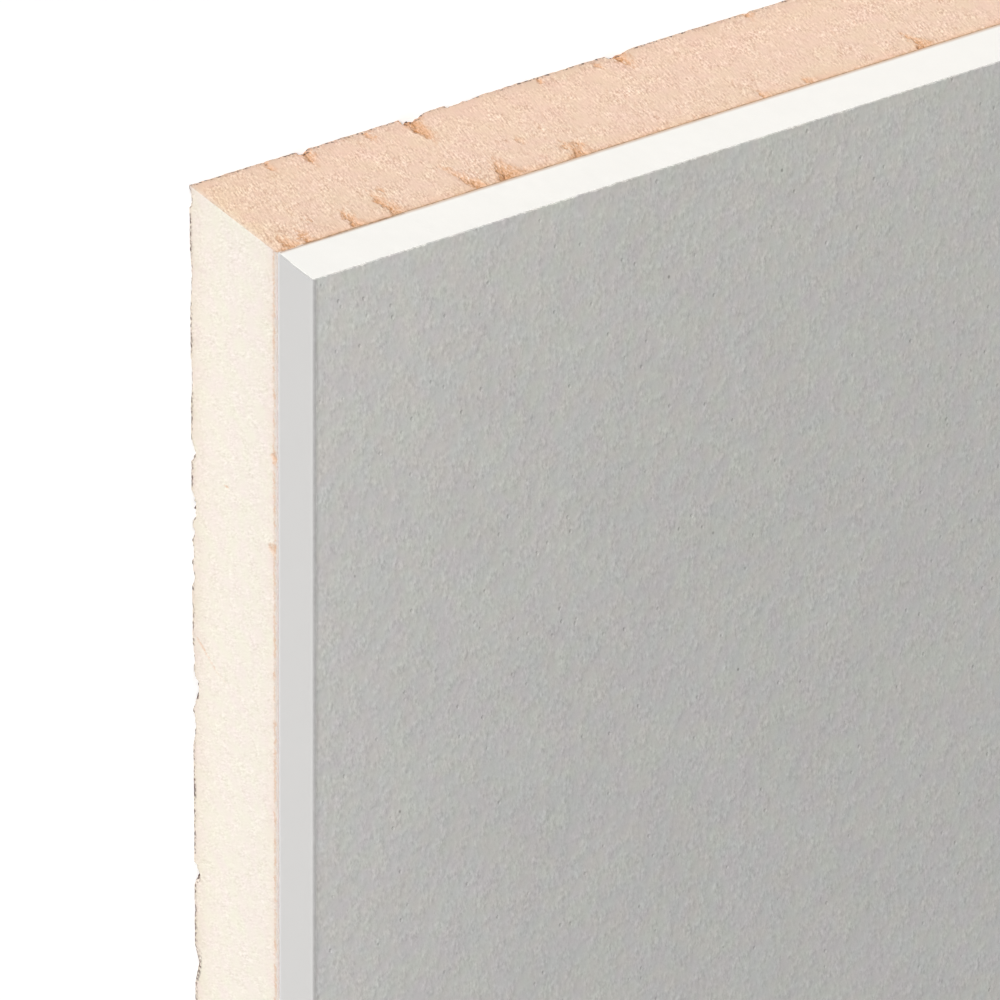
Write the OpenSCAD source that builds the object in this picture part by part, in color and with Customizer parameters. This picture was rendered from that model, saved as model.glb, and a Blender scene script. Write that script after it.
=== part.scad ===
// Insulated plasterboard sheet: a paper-lined gypsum board bonded to a rigid foam board.
// It lies flat on its foam back, face up: X across the width, Y along the length, Z out of the face.
// The origin is on the floor plane, under the middle of the sheet.

/* [Sheet] */
// Width over the two paper-wrapped long edges
sheet_width = 1200; // [600:1:1250]
// Length between the two sawn ends
sheet_length = 2400; // [900:1:3600]

/* [Foam] */
// Thickness of the rigid foam board
foam_thickness = 30; // [15:0.5:120]

/* [Plasterboard] */
// Thickness of the plasterboard, papers included
board_thickness = 12.5; // [9.5:0.5:15]
// Radius of the core's long arrises, which the face paper turns round
core_radius = 0.3; // [0.2:0.1:2.5]

/* [Paper] */
// Thickness of the face paper
face_paper_thickness = 0.4; // [0.25:0.05:0.6]
// Thickness of the back paper
back_paper_thickness = 0.3; // [0.2:0.05:0.6]
// Width of the flap of face paper that is folded onto the back of the core
flap_width = 28; // [15:1:50]
// How far the back paper's edge stops short of the long edge
back_paper_setback = 6; // [2:0.5:12]

/* [Hidden] */
$fn = 48;

// How far a cut runs past the face that it opens
overrun = 1;

// The face paper wraps the board above the back paper, and the core fills the wrap
wrap_height = board_thickness - back_paper_thickness;
core_width = sheet_width - 2 * face_paper_thickness;
core_height = wrap_height - 2 * face_paper_thickness;
arris_radius = core_radius + face_paper_thickness;
back_paper_width = sheet_width - 2 * back_paper_setback;
width_between_flaps = sheet_width - 2 * flap_width;

// Rectangle with four true round corners, centred on X and standing on Y = 0
module rounded_section(width, height, radius) {
    translate([-width / 2 + radius, 0])
        square([width - 2 * radius, height]);
    translate([-width / 2, radius])
        square([width, height - 2 * radius]);
    for (side = [-1, 1])
        for (level = [radius, height - radius])
            translate([side * (width / 2 - radius), level])
                circle(radius);
}

// Outline of the face paper's wrap, seen along the board
module wrap_section() {
    translate([0, back_paper_thickness])
        rounded_section(sheet_width, wrap_height, arris_radius);
}

// Outline of the core: it fills the wrap, and the field between the flaps down to the back paper
module core_section(below = 0) {
    translate([0, back_paper_thickness + face_paper_thickness])
        rounded_section(core_width, core_height, core_radius);
    translate([-width_between_flaps / 2, back_paper_thickness - below])
        square([width_between_flaps, face_paper_thickness + arris_radius + below]);
}

// Runs a section along the full length of the sheet
module along_sheet() {
    rotate([90, 0, 0])
        linear_extrude(height = sheet_length, center = true)
            children();
}

// Places a piece of the plasterboard on the foam's bonded face
module on_foam() {
    translate([0, 0, foam_thickness])
        children();
}

// Rigid foam board, cut flush with the plasterboard on all four sides
module insulation_board() {
    color([0.93, 0.81, 0.72])
        along_sheet()
            translate([-sheet_width / 2, 0])
                square([sheet_width, foam_thickness]);
}

// Gypsum core, open to view at the two sawn ends
module gypsum_core() {
    color([0.97, 0.97, 0.95])
        on_foam()
            along_sheet()
                core_section();
}

// Grey face paper: over the face, round both long edges and folded under as two flaps
module face_paper() {
    color([0.72, 0.71, 0.69])
        on_foam()
            along_sheet()
                difference() {
                    wrap_section();
                    core_section(below = overrun);
                }
}

// Back paper: laps both flaps and is bonded to the foam
module back_paper() {
    color([0.62, 0.56, 0.48])
        on_foam()
            along_sheet()
                translate([-back_paper_width / 2, 0])
                    square([back_paper_width, back_paper_thickness]);
}

insulation_board();
gypsum_core();
face_paper();
back_paper();
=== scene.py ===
"""Insulated plasterboard sheet: foam, gypsum core and two papers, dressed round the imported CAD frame."""

import math
import random
from typing import NamedTuple

import bpy
import numpy as np
from mathutils import Matrix, Vector, noise


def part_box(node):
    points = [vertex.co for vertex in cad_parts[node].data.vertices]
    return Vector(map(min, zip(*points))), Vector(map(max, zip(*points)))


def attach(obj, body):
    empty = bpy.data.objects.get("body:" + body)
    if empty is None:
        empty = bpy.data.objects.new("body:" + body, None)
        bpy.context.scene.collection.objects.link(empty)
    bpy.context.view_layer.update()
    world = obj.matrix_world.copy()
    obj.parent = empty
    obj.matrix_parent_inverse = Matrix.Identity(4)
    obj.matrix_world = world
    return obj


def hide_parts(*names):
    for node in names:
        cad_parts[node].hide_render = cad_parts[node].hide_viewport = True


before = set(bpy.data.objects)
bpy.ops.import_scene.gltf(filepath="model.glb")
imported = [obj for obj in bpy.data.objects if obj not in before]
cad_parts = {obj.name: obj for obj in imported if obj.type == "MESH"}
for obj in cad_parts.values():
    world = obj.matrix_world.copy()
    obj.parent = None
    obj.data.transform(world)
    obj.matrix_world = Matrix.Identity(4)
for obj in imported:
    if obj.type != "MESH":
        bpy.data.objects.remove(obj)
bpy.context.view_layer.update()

bl_info = {
    "name": "Insulated plasterboard sheet",
    "version": (1, 0, 0),
    "blender": (4, 5, 0),
    "location": "View3D > Sidebar > Sheet",
    "description": "Builds a foam-backed plasterboard sheet with sawn foam, gypsum and paper finishes",
    "category": "Add Mesh",
}

MM = 0.001
BODY = "root"
FOAM_LOW, FOAM_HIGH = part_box("insulation_board")
CORE_LOW, CORE_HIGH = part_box("gypsum_core")
WRAP_LOW, WRAP_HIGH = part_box("face_paper")
BACK_LOW, BACK_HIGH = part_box("back_paper")
FOAM_WIDTH = FOAM_HIGH.x - FOAM_LOW.x
FOAM_LENGTH = FOAM_HIGH.y - FOAM_LOW.y
FOAM_THICKNESS = FOAM_HIGH.z - FOAM_LOW.z
FACE_PAPER_THICKNESS = WRAP_HIGH.z - CORE_HIGH.z
BACK_PAPER_THICKNESS = BACK_HIGH.z - BACK_LOW.z
# Radius of the core's long arrises and width of the face paper's flaps, as the part's source has them
CORE_RADIUS = 0.3 * MM
FLAP_WIDTH = 28 * MM
# Radius of the paper round those arrises, and how far from the sheet's middle the flaps end
WRAP_RADIUS = CORE_RADIUS + FACE_PAPER_THICKNESS
FLAP_EDGE = WRAP_HIGH.x - FLAP_WIDTH
# The corner that the camera looks at: far end, left edge, top of the face
CORNER = Vector((WRAP_LOW.x, WRAP_HIGH.y, WRAP_HIGH.z))


class Tear(NamedTuple):
    """A wedge torn or chipped out of one side of the foam."""

    place: float  # Along the side, from the left edge or from the far end
    arris: str  # The arris that it runs in from, joint or back
    start: float  # How far from that arris it starts
    length: float
    width: float
    depth: float
    lean: float  # How far its tip lies to one side

    def in_metres(self):
        """The same tear, carried from millimetres to metres."""
        return Tear(self.place * MM, self.arris, *(value * MM for value in self[2:]))


def chip(place, length, width, depth):
    """A bite out of the back arris."""
    return Tear(place, "back", 0.0, length, width, depth, 0.0)


# Tears on the sawn far end near the corner, in millimetres
CORNER_END_TEARS = (
    Tear(2.4, "joint", 0.0, 4.4, 4.4, 0.54, 0.8),
    Tear(6.9, "joint", 0.0, 4.8, 2.6, 0.60, 1.1),
    Tear(9.2, "joint", 0.0, 1.4, 2.6, 0.24, 0.0),
    Tear(11.7, "joint", 6.6, 2.4, 1.1, 0.36, 0.6),
    Tear(17.4, "joint", 0.0, 6.4, 2.7, 0.55, 0.9),
    Tear(26.5, "joint", 0.0, 10.2, 2.8, 0.45, 0.3),
    Tear(26.0, "joint", 3.6, 5.6, 2.0, 0.50, 0.4),
    Tear(28.8, "joint", 8.2, 3.2, 1.0, 0.26, 0.2),
    Tear(45.0, "joint", 0.0, 9.6, 2.8, 0.55, -2.2),
    Tear(51.0, "joint", 0.0, 7.2, 5.0, 0.75, 1.4),
    Tear(55.8, "joint", 0.0, 2.0, 2.6, 0.24, 0.0),
    Tear(60.8, "joint", 9.6, 3.0, 2.0, 0.34, 0.6),
    Tear(66.2, "joint", 0.0, 6.0, 4.2, 0.60, 4.6),
    Tear(67.0, "joint", 4.4, 2.6, 1.6, 0.45, 0.5),
    Tear(85.5, "joint", 0.0, 2.0, 4.0, 0.20, 0.0),
    Tear(95.0, "joint", 0.0, 1.8, 4.0, 0.20, 0.0),
    Tear(16.2, "back", 0.5, 4.4, 1.6, 0.38, 0.2),
    Tear(24.2, "back", 0.0, 6.0, 2.7, 0.60, 0.1),
    Tear(38.2, "back", 1.1, 4.2, 1.8, 0.42, 0.1),
    Tear(47.0, "back", 0.0, 9.6, 3.8, 0.80, 0.6),
    Tear(77.4, "back", 0.3, 2.4, 1.4, 0.50, -0.6),
    Tear(89.7, "back", 1.2, 3.8, 1.6, 0.30, 0.5),
    Tear(94.8, "back", 0.0, 6.4, 3.4, 0.60, 0.7),
)
CORNER_END_CHIPS = (
    chip(24.4, 1.3, 4.0, 1.00),
    chip(47.0, 2.2, 9.0, 1.55),
    chip(57.0, 0.9, 12.0, 0.60),
    chip(94.0, 1.5, 8.0, 0.90),
)
# Brown nodules and chips on the left edge near the corner, in millimetres
CORNER_EDGE_TEARS = (
    Tear(44.6, "joint", 0.0, 1.4, 2.6, 0.30, 0.0),
    Tear(64.5, "joint", 0.8, 2.4, 2.0, 0.30, 0.8),
    Tear(59.8, "back", 12.4, 1.0, 1.0, 0.22, 0.0),
)
CORNER_EDGE_CHIPS = (
    chip(3.0, 1.0, 4.0, 0.65),
    chip(20.0, 0.6, 12.0, 0.35),
    chip(41.5, 0.6, 9.0, 0.35),
    chip(57.6, 1.4, 4.6, 0.90),
    chip(70.2, 1.6, 8.0, 1.05),
    chip(75.6, 1.0, 3.4, 0.60),
    chip(79.8, 0.8, 4.0, 0.50),
    chip(85.0, 1.0, 4.6, 0.60),
    chip(103.4, 0.7, 6.0, 0.42),
    chip(110.2, 2.0, 9.0, 1.35),
    chip(119.0, 0.9, 7.0, 0.55),
)
# Past these distances from the corner, tears and nicks are random, up to the largest ones here
END_PLACED_BY_HAND = 100 * MM
EDGE_PLACED_BY_HAND = 125 * MM
LARGEST_END_TEAR = Tear(0.0, "joint", 0.0, 8.0, 4.2, 0.95, 0.8)
LARGEST_NICK = chip(0.0, 2.0, 7.0, 1.0)
# Shape of a tear: share of its width left at its tip, distance that it opens over, slopes of its two flanks
TEAR_TIP = 0.35
TEAR_OPENING = 0.5 * MM
STEEP_FLANK = 2.2
GENTLE_FLANK = 0.75
# Scratch on the left edge: its ends and its bend, in millimetres from the far end and above the back
CORNER_SCRATCH = ((98.4, 1.8), (102.4, 8.6), (103.6, 13.4))
SCRATCH_WIDTH = 0.55 * MM
SCRATCH_DEPTH = 0.2 * MM

# Depths at which a tear, its halo and a scratch have their full painted shade, and wear at which the dark
# dashes are full
FULL_TEAR = 0.36 * MM
FULL_SHADE_HALO = 0.45 * MM
FULL_SCRATCH = 0.3 * MM
FULL_DASHES = 0.032 * MM
SHADE_HALO_WIDTH = 1.9  # Of the tear's own width
# How far wear reaches from an arris, and how far the two painted highlights reach from an upright corner
WORN_REACH = 0.9 * MM
EDGE_HIGHLIGHT_REACH = 0.4 * MM
CORNER_HIGHLIGHT_REACH = 5 * MM

# Unevenness in layers of smooth noise: the weight, the size of the bumps in millimetres and the seed of each
TEAR_SWAY = ((0.8, 2.0, 1), (0.7, 0.8, 11))
TEAR_CLIMB = ((1.4, 2.6, 2), (0.9, 0.9, 12))
TEAR_BOTTOM = ((0.6, 0.8, 13), (0.6, 0.45, 15))
CHIP_BOTTOM = ((0.5, 1.5, 16), (0.5, 0.6, 17))
ARRIS_WAVES = ((1.0, 3.0, 3),)
ARRIS_CRUMBS = ((0.45, 1.3, 4), (0.6, 0.6, 14))
SAW_WAVES = ((1.0, 4.5, 5), (0.6, 1.4, 6))
GYPSUM_CRUMBS = ((1.0, 2.2, 21), (0.7, 0.9, 22))
PAPER_CUT = ((0.8, 1.5, 31), (1.1, 0.7, 32))
PAPER_TUFTS = ((1.0, 3.1, 33),)


class Fineness(NamedTuple):
    """How finely a piece is meshed along a side or across the sheet."""

    fine: float  # Step near the corner
    coarse: float  # Step elsewhere
    reach: float  # Length of the fine stretch
    split: int = 1  # Fine rows to each coarse row


FAR_END_MESH = Fineness(0.36 * MM, 2.2 * MM, 175 * MM, 6)
LEFT_EDGE_MESH = Fineness(0.32 * MM, 4.5 * MM, 165 * MM, 3)
CORE_MESH = Fineness(0.8 * MM, 3.0 * MM, 115 * MM)
PAPER_MESH = Fineness(0.28 * MM, 4.0 * MM, 175 * MM)
FOAM_ROWS = 12  # Through the thickness, away from the corner
FOAM_ROW_SPREAD = 0.55  # How much closer together the rows lie at the arrises, below 1
CORE_ROWS = 14
# The papers' rows near each end, in millimetres from it, then even rows along the middle
END_ROWS = (0.0, 0.3, 0.8, 2.0, 6.0, 20.0, 60.0)
MIDDLE_START = 200 * MM
MIDDLE_ROWS = 13
FLAP_PARTS = 6
EDGE_PARTS = 8
BEND_PARTS = 8
# How far the frayed cut reaches into a paper, and how far tight paper and the painted shade of its crease
# reach onto the face
FRAY_REACH = 1.5 * MM
TIGHT_REACH = 0.15 * MM
CREASE_SHADE_REACH = 0.5 * MM
# The back paper is cut this much short of the ends, with this share of the face paper's fray
BACK_PAPER_SHORT = 0.03 * MM
BACK_PAPER_FRAY = 0.2
# Half of the step that a sharp change of the core's section takes across
SHARP_STEP = 0.02 * MM
SMOOTH_ANGLE = math.radians(38)

SENSOR_WIDTH = 36  # In millimetres, as a lens is
FLOOR_DROP = 0.05 * MM
FLOOR_COLOUR = (0.8, 0.8, 0.8, 1.0)
WHITE = (1.0, 1.0, 1.0, 1.0)


def a_colour(name, description, default):
    """A colour that a user may change, in linear values."""
    return bpy.props.FloatVectorProperty(
        name=name, description=description, subtype="COLOR", size=3, min=0.0, max=1.0, default=default
    )


def a_length(name, description, default):
    """A length that a user may change, in metres."""
    return bpy.props.FloatProperty(
        name=name, description=description, unit="LENGTH", min=0.0, precision=5, default=default
    )


def an_angle(name, description, degrees):
    """An angle that a user may change, given in degrees."""
    return bpy.props.FloatProperty(
        name=name, description=description, subtype="ANGLE", default=math.radians(degrees)
    )


def a_number(name, description, default, unit="NONE"):
    """A number that a user may change."""
    return bpy.props.FloatProperty(
        name=name, description=description, unit=unit, min=0.0, precision=3, default=default
    )


def a_count(name, description, default):
    """A whole number that a user may change."""
    return bpy.props.IntProperty(name=name, description=description, min=1, default=default)


class SHEET_PG_foam(bpy.types.PropertyGroup):
    """Finish of the rigid foam board."""

    end_colour: a_colour("Sawn end", "Foam across the two sawn ends", (0.848, 0.633, 0.499))
    # Painted light: the long edges' paler, creamier colour than the sawn ends' stands for the washed-out
    # look of the brightly lit side
    edge_colour: a_colour("Long edge", "Foam along the two planed long edges", (0.862, 0.804, 0.725))
    back_colour: a_colour("Back", "Foam on the planed back", (0.84, 0.71, 0.59))
    # Partly glue, partly painted light: the glued face is pale so that the shaded gap under the paper's
    # lower bend reads light
    glue_and_fill_light_colour: a_colour("Glued face", "Glue on the face bonded to the board", (0.915, 0.84, 0.80))
    # Painted shade: tears are darker and more orange on their slopes and at their bottoms; the slope colour
    # also darkens the foam's pits
    slope_shade_and_pit_colour: a_colour("Bruised foam", "Foam on the slopes of a tear", (0.76, 0.47, 0.30))
    tear_shade_colour: a_colour("Torn foam", "Foam at the bottom of a tear", (0.54, 0.27, 0.12))
    # Painted shade: a darker orange line along the joint
    joint_shade_colour: a_colour("Joint line", "Foam stained by the glue along the joint", (0.70, 0.46, 0.31))
    band_colour: a_colour("Joint band", "Glue and dust on a long edge by the joint", (0.72, 0.655, 0.60))
    # Dark dashes along the worn back arris
    dash_colour: a_colour("Soil", "Dirt that the back arris has picked up", (0.13, 0.09, 0.08))
    end_wear: a_length("End wear", "How far the arrises of a sawn end are rubbed back", 0.13 * MM)
    edge_wear: a_length("Edge wear", "How far the arrises of a long edge are rubbed back", 0.13 * MM)
    saw_relief: a_length("Saw relief", "Height of the sawn ends' unevenness", 0.06 * MM)
    grain_size: a_length("Grain size", "Width of the sawn foam's grain", 0.38 * MM)
    saw_lean: an_angle("Saw lean", "Turn of the sawn grain from the sheet's thickness", 25.0)
    end_grain: a_length("End grain", "Height of the grain on a sawn end", 0.14 * MM)
    edge_grain: a_length("Edge grain", "Height of the grain on a long edge and the back", 0.08 * MM)
    tear_spacing: a_length("Tear spacing", "Mean distance between tears on a sawn end", 13 * MM)
    nick_spacing: a_length("Nick spacing", "Mean distance between nicks on a long edge", 45 * MM)
    seed: a_count("Seed", "Start of the random tears", 7)


class SHEET_PG_core(bpy.types.PropertyGroup):
    """Finish of the gypsum core."""

    gypsum_colour: a_colour("Gypsum", "Gypsum at the sawn ends", (0.93, 0.918, 0.88))
    smear_colour: a_colour("Smear", "Gypsum stained by the back paper", (0.62, 0.45, 0.33))
    crumble: a_length("Crumble", "How unevenly the core broke at its ends", 0.03 * MM)


class SHEET_PG_paper(bpy.types.PropertyGroup):
    """Finish of the face paper and the back paper."""

    face_colour: a_colour("Face paper", "Grey paper over the face", (0.596, 0.59, 0.566))
    edge_colour: a_colour("Edge paper", "Grey paper pulled tight round a long edge", (0.622, 0.614, 0.604))
    # Painted bounce light: a pale pinkish tint on the paper's lower bend, which faces down into shade
    edge_bounce_colour: a_colour("Edge stain", "Paper stained by the glue beside the foam", (0.77, 0.765, 0.77))
    back_colour: a_colour("Back paper", "Brown paper between gypsum and foam", (0.50, 0.31, 0.19))
    fleck_colour: a_colour("Flecks", "Dark flecks in the recycled fibre", (0.10, 0.095, 0.085))
    fray: a_length("Fray", "How unevenly the paper's ends are cut", 0.16 * MM)
    fibre_width: a_length("Fibre width", "Width of the fibre pattern", 0.95 * MM)
    fibre_length: a_length("Fibre length", "Length of the fibre pattern along the sheet", 1.7 * MM)
    fibre_lean: an_angle("Fibre lean", "Turn of the fibre pattern from the sheet's length", 11.0)
    fibre_height: a_length("Fibre height", "Height of the fibre pattern", 0.18 * MM)


class SHEET_PG_stage(bpy.types.PropertyGroup):
    """Camera, lights and floor."""

    target_across: a_length("Target across", "Camera's aim from the corner, across the face", 41.89 * MM)
    target_along: a_length("Target along", "Camera's aim from the corner, along the face", 60.46 * MM)
    distance: a_length("Distance", "From the camera to its aim", 1.80492)
    azimuth: an_angle("Azimuth", "Turn of the camera round the sheet", 222.8624)
    elevation: an_angle("Elevation", "Height of the camera above the horizon", 45.2326)
    roll: an_angle("Roll", "Turn of the picture, so that the length runs upright", 128.0943)
    lens: a_number("Lens", "Focal length in millimetres", 345.568, "CAMERA")
    key_azimuth: an_angle("Key azimuth", "Where the main light stands", 228.0)
    key_elevation: an_angle("Key elevation", "Height of the main light", 28.0)
    key_spread: an_angle("Key spread", "Apparent size of the main light", 40.0)
    key_strength: a_number("Key strength", "Light that falls square on from the main light, 1 is full", 0.95)
    fill_strength: a_number("Fill strength", "Light that falls square on from the opposite side", 0.16)
    sky_strength: a_number("Sky strength", "Even light from all round", 0.26)
    floor_glow: a_number("Floor glow", "White that the floor shows the camera beside its own light", 0.42)
    floor_size: a_length("Floor size", "Length of the floor's sides", 300.0)


def spaced(start, stop, step):
    """Evenly spaced values from start up to, but without, stop, about one step apart."""
    parts = max(1, round(abs(stop - start) / step))
    return np.linspace(start, stop, parts, endpoint=False)


def closer(share, spread):
    """Shares from 0 to 1, moved closer together towards both ends."""
    return share - spread * np.sin(2 * np.pi * share) / (2 * np.pi)


def smooth_noise(points, size, seed):
    """Noise from -1 to 1 at each point, in bumps of about that size."""
    shift = Vector((seed * 17.3, seed * 9.1, seed * 4.7))
    return np.array([noise.noise(Vector(point) / size + shift) for point in points])


def uneven(points, layers):
    """Unevenness at each point, round 0: its layers of smooth noise, added up."""
    return sum(weight * smooth_noise(points, size * MM, seed) for weight, size, seed in layers)


def quads(grid, turned=False):
    """Faces between the rows and columns of a grid of vertex numbers, turned over if asked."""
    corners = (grid[:-1, :-1], grid[1:, :-1], grid[1:, 1:], grid[:-1, 1:])
    if turned:
        corners = (corners[0], *corners[:0:-1])
    return np.stack(corners, axis=-1).reshape(-1, 4).tolist()


def store(mesh, name, values):
    """Keeps one number for each vertex, for the materials to read."""
    attribute = mesh.attributes.new(name, "FLOAT", "POINT")
    attribute.data.foreach_set("value", np.asarray(values, np.float32))


def make_piece(name, node, points, faces, materials, face_materials=None):
    """Makes a mesh piece that stands for a CAD node and rides on the sheet."""
    mesh = bpy.data.meshes.new(name)
    mesh.from_pydata(points.tolist(), [], faces)
    for material in materials:
        mesh.materials.append(material)
    if face_materials is not None:
        mesh.polygons.foreach_set("material_index", np.asarray(face_materials, np.int32))
    mesh.polygons.foreach_set("use_smooth", np.ones(len(mesh.polygons), bool))
    mesh.set_sharp_from_angle(angle=SMOOTH_ANGLE)
    if mesh.validate():
        raise RuntimeError(f"{name} has faces that aren't valid")
    piece = bpy.data.objects.new(name, mesh)
    bpy.context.scene.collection.objects.link(piece)
    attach(piece, BODY)
    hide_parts(node)
    return piece


STRAIGHT = (0.0, 0.0, 0.0)
# Sockets that a mix node uses for colours
MIX_SHARE, MIX_FIRST, MIX_SECOND, MIX_RESULT = 0, 6, 7, 2


def even(value):
    """One value for X, Y and Z, or for red, green and blue."""
    return (value, value, value)


def tinted(base, *factors):
    """A colour made lighter or darker, in all its parts alike or in each by its own factor."""
    if len(factors) == 1:
        factors = even(*factors)
    return tuple(part * factor for part, factor in zip(base, factors))


class Patches(NamedTuple):
    """Soft patches of tint."""

    size: tuple  # Along X, Y and Z
    detail: float
    spread: float  # How far from its mean the noise reaches either tint
    first: tuple
    second: tuple


class Value:
    """Something that a shader tree works out. Arithmetic on it adds nodes to the tree."""

    def __init__(self, nodes, socket):
        self.nodes = nodes
        self.socket = socket

    def __add__(self, other):
        return self.nodes.sums("ADD", self, other)

    def __sub__(self, other):
        return self.nodes.sums("SUBTRACT", self, other)

    def __rsub__(self, other):
        return self.nodes.sums("SUBTRACT", other, self)

    def __mul__(self, other):
        return self.nodes.sums("MULTIPLY", self, other)

    def __abs__(self):
        return self.nodes.sums("ABSOLUTE", self)

    def ranged(self, low, high, to_low=0.0, to_high=1.0):
        """The value carried from one range to another, and held inside it."""
        inputs = {"Value": self, "From Min": low, "From Max": high, "To Min": to_low, "To Max": to_high}
        return self.nodes.get("ShaderNodeMapRange", 0, inputs)

    def swung(self, spread, to_low=0.0, to_high=1.0):
        """A noise round 0.5 carried to a range, whose ends it reaches at a spread from 0.5."""
        return self.ranged(0.5 - spread, 0.5 + spread, to_low, to_high)

    def fading(self, reach):
        """1 where a distance is 0, and less and less with it."""
        return self.nodes.sums("POWER", math.e, self.nodes.sums("DIVIDE", self, -reach))


class Nodes:
    """Short ways to add nodes to a shader tree."""

    def __init__(self, tree):
        self.tree = tree

    def add(self, kind, inputs=None, **settings):
        """Adds a node with its settings, and links its inputs to values or sets them."""
        made = self.tree.nodes.new(kind)
        for key, setting in settings.items():
            setattr(made, key, setting)
        for key, given in (inputs or {}).items():
            if isinstance(given, Value):
                self.tree.links.new(given.socket, made.inputs[key])
            else:
                made.inputs[key].default_value = given
        return made

    def get(self, kind, output, inputs=None, **settings):
        """One output of a new node."""
        return Value(self, self.add(kind, inputs, **settings).outputs[output])

    def sums(self, operation, first, second=0.0):
        """Output of a math node."""
        return self.get("ShaderNodeMath", 0, {0: first, 1: second}, operation=operation)

    def mixed(self, share, first, second, mode="MIX"):
        """Output of a colour mix."""
        inputs = {MIX_SHARE: share}
        for key, colour in ((MIX_FIRST, first), (MIX_SECOND, second)):
            inputs[key] = colour if isinstance(colour, Value) else (*colour, 1.0)
        return self.get("ShaderNodeMix", MIX_RESULT, inputs, data_type="RGBA", blend_type=mode)

    def dyed(self, tone, share, first, second, strength=1.0):
        """A tone under a tint, which a share takes from the first colour to the second."""
        return self.mixed(strength, tone, self.mixed(share, first, second), "MULTIPLY")

    def patched(self, tone, kinds, strength=1.0):
        """A tone under each of some kinds of patches."""
        for patches in kinds:
            share = self.cloud(patches.size, patches.detail).swung(patches.spread)
            tone = self.dyed(tone, share, patches.first, patches.second, strength)
        return tone

    def in_sheet(self, size, turn):
        """Place in the sheet's own space, counted in cells of a size along X, Y and Z, turned about them."""
        place = self.get("ShaderNodeTexCoord", "Object")
        inputs = {"Vector": place, "Rotation": turn, "Scale": size}
        return self.get("ShaderNodeMapping", 0, inputs, vector_type="TEXTURE")

    def cloud(self, size, detail=1.0, turn=STRAIGHT):
        """Noise round 0.5 in the sheet's own space: size is how big its bumps are along X, Y and Z."""
        inputs = {"Vector": self.in_sheet(size, turn), "Scale": 1.0, "Detail": detail}
        return self.get("ShaderNodeTexNoise", "Fac", inputs)

    def flecks(self, cell, share, radius, turn=STRAIGHT):
        """Spots in a share of the cells of the sheet's own space: 1 in a spot's middle, 0 between them."""
        cells = self.add("ShaderNodeTexVoronoi", {"Vector": self.in_sheet(cell, turn), "Scale": 1.0})
        chance = self.get("ShaderNodeSeparateColor", 0, {"Color": Value(self, cells.outputs["Color"])})
        spots = Value(self, cells.outputs["Distance"]).ranged(0.4 * radius, radius, 1.0, 0.0)
        return spots * self.sums("LESS_THAN", chance, share)

    def coordinate(self, axis):
        """A place in the sheet's own space along X, Y or Z."""
        return self.get("ShaderNodeSeparateXYZ", axis, {"Vector": self.get("ShaderNodeTexCoord", "Object")})

    def kept(self, name):
        """A number that the mesh keeps for each vertex."""
        return self.get("ShaderNodeAttribute", "Fac", attribute_name=name)

    def from_border(self, axis, half):
        """Distance from the nearer of two opposite borders of the sheet."""
        return half - abs(self.coordinate(axis))

    def seen_directly(self):
        """1 for rays from the camera or off glossy or clear things, 0 for light that falls on things."""
        rays = self.add("ShaderNodeLightPath").outputs
        camera, glossy, clear = (
            Value(self, rays[name]) for name in ("Is Camera Ray", "Is Glossy Ray", "Is Transmission Ray")
        )
        return self.sums("MAXIMUM", self.sums("MAXIMUM", camera, glossy), clear)


class Finish(Nodes):
    """A new matte material, ready for its colour and relief."""

    def __init__(self, name, roughness, specular):
        self.material = bpy.data.materials.new(name)
        self.material.use_nodes = True
        super().__init__(self.material.node_tree)
        self.shader = self.tree.nodes["Principled BSDF"]
        self.shader.inputs["Roughness"].default_value = roughness
        self.shader.inputs["Specular IOR Level"].default_value = specular

    def painted(self, tone, height, distance):
        """The material with its colour, and with the relief of a height from 0 to 1 times a distance."""
        relief = self.get("ShaderNodeBump", 0, {"Height": height, "Distance": distance, "Strength": 1.0})
        self.tree.links.new(tone.socket, self.shader.inputs["Base Color"])
        self.tree.links.new(relief.socket, self.shader.inputs["Normal"])
        return self.material


class FoamLook(NamedTuple):
    """How one kind of foam surface looks."""

    name: str
    base: tuple  # Colour of the clean foam
    contrast: float  # Strength of its grain
    weights: tuple  # How much of the contrast red, green and blue take
    grain: tuple  # Size of the colour grain along X, Y and Z
    grain_turn: tuple
    drag: tuple  # Size of the strokes, which also make the relief
    drag_turn: tuple
    drag_height: float
    joint_tint: tuple  # Painted shade beside the joint, which fades with its reach
    joint_reach: float
    back_tint: tuple  # Tint beside the back, likewise
    back_reach: float
    line_place: float  # How far below the joint the painted shade line lies
    line_half: float  # Half of the line's width
    line_share: float  # Strength of the line
    band: float  # Depth of the glue and dust beside the joint
    patchy: float  # Strength of the patches of tint
    dash_level: float  # Noise above which the dark dashes sit on the worn back arris
    tearing: float  # Strength of the painted shade in torn foam


FOAM_PATCHES = (
    Patches(even(6.3 * MM), 2.0, 0.15, (1.0, 0.97, 0.98), (0.99, 1.0, 0.965)),
    Patches(even(4.2 * MM), 1.0, 0.15, (1.005, 0.985, 1.01), (0.99, 1.01, 0.975)),
)
# Painted highlight: paler, yellower foam on a sawn end by an upright corner
CORNER_HIGHLIGHT_TINT = (1.03, 1.02, 0.96)
# Sizes of the noises that vary the foam's grain, its tints and painted shade at the borders, its painted
# shade line and its dark dashes
VIGOUR_SIZE = even(3.3 * MM)
BLUSH_SIZE = even(4.1 * MM)
BEAD_SIZE = even(1.3 * MM)
DASH_SIZE = even(0.6 * MM)
DASH_RUN_SIZE = even(8.3 * MM)
LINE_SWAY = 0.4 * MM
DASH_EDGE = 0.03  # Of the dashes' noise, from plain to dark
DASH_HAZE = 0.06  # Faint darkening all over the worn arris

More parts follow.
